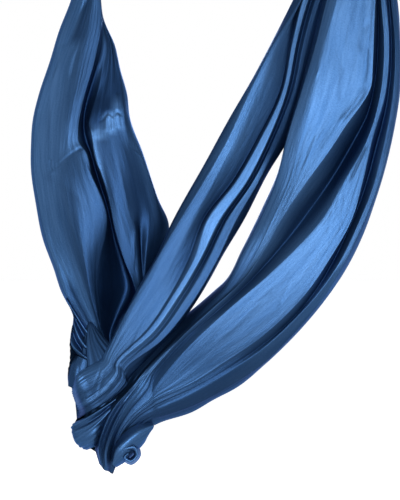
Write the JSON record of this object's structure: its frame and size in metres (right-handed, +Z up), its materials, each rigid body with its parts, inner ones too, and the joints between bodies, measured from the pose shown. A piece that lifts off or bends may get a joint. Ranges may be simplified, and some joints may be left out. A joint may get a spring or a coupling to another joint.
{
  "type": "aerial yoga hammock",
  "caption": "Dark blue satin nylon hammock, knotted low, hung by rope slings from screw-gate carabiners and ceiling plates.",
  "frame": {"origin": "middle of the left ceiling plate's upper face", "axes": "+X from the left plate to the right plate, +Y away from the viewer of the picture, +Z up"},
  "size_m": [0.8181, 0.15, 1.567],
  "materials": {
    "blue_satin_nylon": "satin",
    "black_rope": "matte",
    "bright_steel": "polished"
  },
  "bodies": {
    "ceiling_anchors": {"left_ceiling_plate": "bright_steel", "right_ceiling_plate": "bright_steel", "left_eye_bow": "bright_steel", "right_eye_bow": "bright_steel"},
    "hammock": {"left_carabiner_body": "bright_steel", "right_carabiner_body": "bright_steel", "left_gate_pin": "bright_steel", "right_gate_pin": "bright_steel", "left_rope_sling": "black_rope", "right_rope_sling": "black_rope", "left_end_frill": "blue_satin_nylon", "right_end_frill": "blue_satin_nylon", "left_end_knot": "blue_satin_nylon", "right_end_knot": "blue_satin_nylon", "left_gather": "blue_satin_nylon", "left_drape": "blue_satin_nylon", "left_collar": "blue_satin_nylon", "right_gather": "blue_satin_nylon", "right_inner_band": "blue_satin_nylon", "right_outer_band": "blue_satin_nylon", "knot_back_turn": "blue_satin_nylon", "knot_ruffle": "blue_satin_nylon", "knot_front_wrap": "blue_satin_nylon", "knot_under_bulge": "blue_satin_nylon", "knot_outer_tuck": "blue_satin_nylon", "knot_tail_pleats": "blue_satin_nylon", "knot_right_curl": "blue_satin_nylon"},
    "left_gate_arm": {"left_gate": "bright_steel", "left_gate_plunger": "bright_steel", "left_gate_spring": "bright_steel"},
    "right_gate_arm": {"right_gate": "bright_steel", "right_gate_plunger": "bright_steel", "right_gate_spring": "bright_steel"},
    "left_sleeve": {"left_lock_sleeve": "bright_steel"},
    "right_sleeve": {"right_lock_sleeve": "bright_steel"}
  },
  "joints": [
    {"name": "hammock_swing", "type": "hinge", "parent": "ceiling_anchors", "child": "hammock", "pos_m": [0, 0, -0.036], "axis": [1, 0, 0], "range_deg": [-45, 45]},
    {"name": "left_gate_hinge", "type": "hinge", "parent": "hammock", "child": "left_gate_arm", "pos_m": [0, -0.024, -0.0556], "axis": [1, 0, 0], "range_deg": [0, 24], "stiffness_Nm_per_rad": 0.3, "springref_deg": -28.65},
    {"name": "right_gate_hinge", "type": "hinge", "parent": "hammock", "child": "right_gate_arm", "pos_m": [0.61, -0.024, -0.0556], "axis": [1, 0, 0], "range_deg": [0, 24], "stiffness_Nm_per_rad": 0.3, "springref_deg": -28.65},
    {"name": "left_sleeve_slide", "type": "slide", "parent": "left_gate_arm", "child": "left_sleeve", "axis": [0, 0, -1], "range_m": [0, 0.0095]},
    {"name": "right_sleeve_slide", "type": "slide", "parent": "right_gate_arm", "child": "right_sleeve", "axis": [0, 0, -1], "range_m": [0, 0.0095]}
  ]
}
